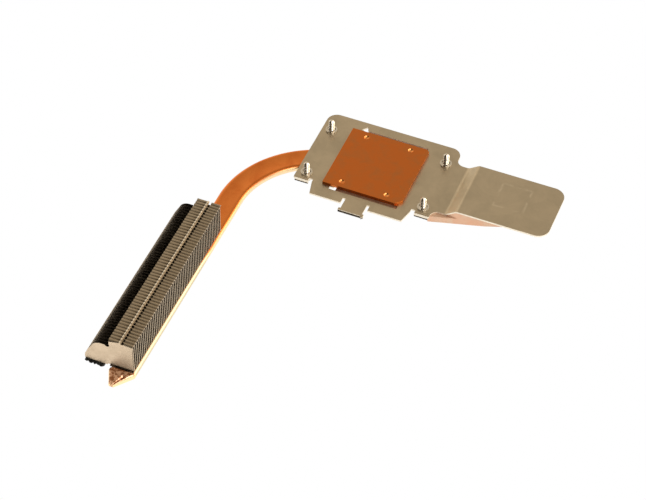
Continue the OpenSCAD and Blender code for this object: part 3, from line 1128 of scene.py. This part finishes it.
@dataclass
class CaptiveScrews:
    """The four screws with their threads, and their rings."""

    shop: Workshop
    pitch_x: float = 40.2
    pitch_y: float = 21.4
    radius: float = 1.0
    screw_edge: float = 0.06
    ring_edge: float = 0.07
    thread_from: float = -0.42
    thread_to: float = 2.75
    thread_depth: float = 0.2
    thread_fade: float = 0.2
    lead: float = 0.4

    def build(self) -> None:
        """Makes the four screws and their rings."""
        for corner in CORNERS:
            node = f"screw_{corner}"
            screw = self.shop.copy(node, f"threaded_{node}", 0.005)
            Bench.bevel(screw, self.screw_edge, 2, 35.0)
            sx = -1 if corner.endswith("left") else 1
            sy = 1 if corner.startswith("rear") else -1
            self.cut_thread(screw, Vector((sx * self.pitch_x / 2, sy * self.pitch_y / 2)))
            Bench.shade(screw)
            self.shop.dress(screw, (SCREW_STEEL,), node, node)
            node = f"clip_{corner}"
            ring = self.shop.copy(node, f"sprung_{node}", 0.005)
            Bench.bevel(ring, self.ring_edge, 2, 35.0)
            Bench.shade(ring)
            self.shop.dress(ring, (CLIP_STEEL,), node, node)

    def cut_thread(self, screw: Piece, centre: Vector) -> None:
        """Presses the rolled thread into the screw's upper shank.

        Args:
            screw: The screw.
            centre: Its axis in plan.
        """
        span = self.thread_to - self.thread_from
        shank = 0.8 * self.radius

        def on_shank(a: Vector, b: Vector) -> bool:
            """True for the long edges of the threaded shank."""
            out = min((end.xy - centre).length for end in (a, b))
            return abs(a.z - b.z) > 0.6 * span and out > shank

        def threaded(co: Vector) -> Vector | None:
            """Moves a point of the threaded shank nearer to the axis, between the crests."""
            arm = co.xy - centre
            if not (self.thread_from < co.z < self.thread_to and arm.length > shank):
                return None
            turned = math.atan2(arm.y, arm.x) / (2 * math.pi)
            phase = (co.z - self.thread_from) / self.lead - turned
            wave = abs(2 * (phase % 1.0) - 1.0)
            ends = (co.z - self.thread_from, self.thread_to - co.z)
            fade = min(1.0, *(end / self.thread_fade for end in ends))
            new = arm.normalized() * (self.radius - self.thread_depth * (1.0 - wave) * fade)
            return Vector((centre.x + new.x, centre.y + new.y, co.z))

        Bench.pick_edges(screw, on_shank)
        bpy.ops.mesh.subdivide(number_cuts=int(span / self.lead) * 4)
        Bench.leave()
        Bench.reshape(screw, threaded)


@dataclass
class FoamStrip:
    """The cut foam under the noses."""

    shop: Workshop
    fill: float = 0.995
    cuts: tuple[tuple[int, int], ...] = ((1, 110), (0, 11), (2, 3))
    jag: float = 0.09
    torn_length: float = 0.3
    torn_by: tuple[float, ...] = (0.0, 0.1, 0.5, 1.0)
    seed: int = 11

    def build(self) -> None:
        """Roughens the strip and tears its near end."""
        lo, hi = (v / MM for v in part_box("foam_strip"))
        bpy.ops.mesh.primitive_cube_add(
            size=1.0, location=((lo + hi) / 2) * MM, scale=(hi - lo) * self.fill * MM
        )
        obj = Bench.take_primitive("foam_gasket")
        for axis, cuts in self.cuts:
            Bench.pick_edges(obj, lambda a, b, k=axis: abs(a[k] - b[k]) > 0.9 * (hi - lo)[k])
            bpy.ops.mesh.subdivide(number_cuts=cuts)
            Bench.leave()
        rng = random.Random(self.seed)

        def torn(co: Vector) -> Vector:
            """Roughens a point, tears it if it is at the near end, and keeps it in the box."""
            jag = Vector([rng.uniform(-self.jag, self.jag) for _ in range(3)])
            if co.y < lo.y + self.torn_length:
                jag.y += rng.choice(self.torn_by)
            co = co + jag
            return Vector([min(max(co[k], lo[k]), hi[k]) for k in range(3)])

        Bench.reshape(obj, torn)
        self.shop.dress(obj, (FOAM,), "base", "foam_strip")


@dataclass(frozen=True)
class Viewpoint:
    """Where the photograph was taken from, in degrees and millimetres."""

    azimuth: float = 21.18
    elevation: float = 47.19
    roll: float = -1.46
    focal_px: float = 2070.0
    frame_px: float = 646.0
    sensor_mm: float = 36.0
    aim: Triple = (0.0, 0.5, -1.0)
    aim_px: Span = (54.0, -83.0)
    distance: float = 672.2

    def axes(self) -> tuple[Vector, Vector, Vector]:
        """Works out the picture's directions.

        Returns:
            Right, down and forward.
        """
        a, e, r = (math.radians(v) for v in (self.azimuth, self.elevation, self.roll))
        right = Vector((math.cos(a), math.sin(a), 0.0))
        forward = Vector((-math.sin(a) * math.cos(e), math.cos(a) * math.cos(e), -math.sin(e)))
        down = forward.cross(right)
        rolled = math.cos(r) * right + math.sin(r) * down
        return rolled, math.cos(r) * down - math.sin(r) * right, forward

    def place(self) -> None:
        """Makes the camera and makes it the scene's own."""
        right, down, forward = self.axes()
        aside, below = (value / self.focal_px for value in self.aim_px)
        ray = right * aside + down * below + forward
        data = bpy.data.cameras.new("camera")
        data.sensor_width = self.sensor_mm
        data.lens = self.focal_px / self.frame_px * self.sensor_mm
        data.clip_start, data.clip_end = 0.01, 10.0
        camera = bpy.data.objects.new("camera", data)
        bpy.context.scene.collection.objects.link(camera)
        turn = Matrix((right, -down, -forward)).transposed().to_4x4()
        stand = Matrix.Translation((Vector(self.aim) - ray * self.distance) * MM)
        camera.matrix_world = stand @ turn
        bpy.context.scene.camera = camera


@dataclass(frozen=True)
class Glow:
    """A soft light patch of the room: its direction, the cosine where it starts, its strength."""

    way: Triple
    start: float
    amount: float


@dataclass
class Studio:
    """White floor, one soft lamp and a dim warm room. Lengths here are in metres."""

    floor_level: float
    floor_size: float = 4.0
    floor_gap: float = 0.02 * MM
    glow_way: Triple = (0.55, -0.83, 0.0)
    glow_reach: float = 0.12
    near_glow: float = 1.35
    far_glow: float = 0.8
    floor_tint: Rgb = (1.0, 0.93, 0.82)
    key_place: Triple = (0.42, -0.30, 0.42)
    key_target: Triple = (0.0, -0.04, 0.0)
    key_size: float = 0.30
    key_power: float = 1.2
    key_color: Rgb = (1.0, 0.95, 0.88)
    room_tint: Rgb = (1.0, 0.85, 0.64)
    room_dim: float = 0.06
    room_glows: tuple[Glow, ...] = (
        Glow((-0.25, 0.64, 0.73), 0.3, 0.50),
        Glow((-0.85, 0.52, 0.05), 0.5, 0.70),
        Glow((0.76, 0.62, 0.20), 0.82, 3.5),
        Glow((0.80, -0.50, 0.33), 0.45, 0.8),
    )

    def build(self) -> None:
        """Makes the floor, the lamp and the room."""
        self.floor()
        self.lamp()
        self.room()
        bpy.context.scene.view_settings.view_transform = "Standard"

    def floor(self) -> None:
        """Lays a plain white floor under the part, brighter towards the lamp."""
        level = self.floor_level - self.floor_gap
        bpy.ops.mesh.primitive_plane_add(size=self.floor_size, location=(0, 0, level))
        floor = bpy.context.object
        floor.name = "floor"
        mat = bpy.data.materials.new("white_floor")
        mat.use_nodes = True
        sk = Sketch(mat.node_tree)
        place = sk.add("ShaderNodeTexCoord").outputs["Object"]
        along = self.facing(sk, place, self.glow_way)
        reach = (-self.glow_reach, self.glow_reach)
        glow = sk.ramp(along, reach, (self.far_glow, self.near_glow))
        tint, glow = self.white_to_camera(sk, self.floor_tint, glow)
        light = sk.add("ShaderNodeEmission", Color=tint, Strength=glow)
        sk.link(light.outputs[0], mat.node_tree.nodes["Material Output"].inputs[0])
        floor.data.materials.append(mat)
        floor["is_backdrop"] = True

    def lamp(self) -> None:
        """Hangs the soft lamp so that it points at the part."""
        data = bpy.data.lights.new("key", "AREA")
        data.size, data.energy, data.color = self.key_size, self.key_power, self.key_color
        lamp = bpy.data.objects.new("key", data)
        bpy.context.scene.collection.objects.link(lamp)
        lamp.location = self.key_place
        way = Vector(self.key_target) - Vector(self.key_place)
        lamp.rotation_euler = way.to_track_quat("-Z", "Y").to_euler()

    def room(self) -> None:
        """Lights the room behind the part and at the right front, dark on the camera's side."""
        world = bpy.data.worlds.new("room")
        bpy.context.scene.world = world
        world.use_nodes = True
        sk = Sketch(world.node_tree)
        way = sk.add("ShaderNodeTexCoord").outputs["Generated"]
        total = self.room_dim
        for glow in self.room_glows:
            facing = self.facing(sk, way, glow.way)
            patch = sk.ramp(facing, (glow.start, 1.0), (0.0, glow.amount))
            total = sk.number("ADD", patch, total)
        tint, total = self.white_to_camera(sk, self.room_tint, total)
        back = world.node_tree.nodes["Background"]
        sk.link(tint, back.inputs["Color"])
        sk.link(total, back.inputs["Strength"])

    @staticmethod
    def facing(sk: Sketch, place: Socket, way: Triple) -> Socket:
        """Says how far a place lies along a direction."""
        node = sk.add("ShaderNodeVectorMath", {"operation": "DOT_PRODUCT"}, i0=place, i1=way)
        return node.outputs[1]

    @staticmethod
    def white_to_camera(sk: Sketch, tint: Rgb, strength: Socket) -> tuple[Socket, Socket]:
        """Shows the camera plain white where the part is lit by a tint.

        Args:
            sk: The sketch of the floor's or the room's tree.
            tint: Colour of the light.
            strength: Socket with the light's strength.

        Returns:
            The colour's and the strength's sockets.
        """
        seen = sk.add("ShaderNodeLightPath").outputs["Is Camera Ray"]
        mixed = sk.add("ShaderNodeMix", {"data_type": "FLOAT"}, i0=seen, i2=strength, i3=1.0)
        return sk.mix(seen, tint, (1.0, 1.0, 1.0)), mixed.outputs[0]


def main() -> None:
    """Builds the scene in order."""
    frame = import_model()
    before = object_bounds()
    shop = Workshop(frame)
    Viewpoint().place()
    Studio(before[0].z).build()
    SpringPlate(shop).build()
    ContactBlock(shop).build()
    HeatPipe(shop).build()
    FinStack(shop).build()
    CaptiveScrews(shop).build()
    FoamStrip(shop).build()
    LOG.info("%d pieces", shop.made)


if __name__ == "__main__":
    logging.basicConfig(level=logging.INFO, format="%(message)s")
    main()
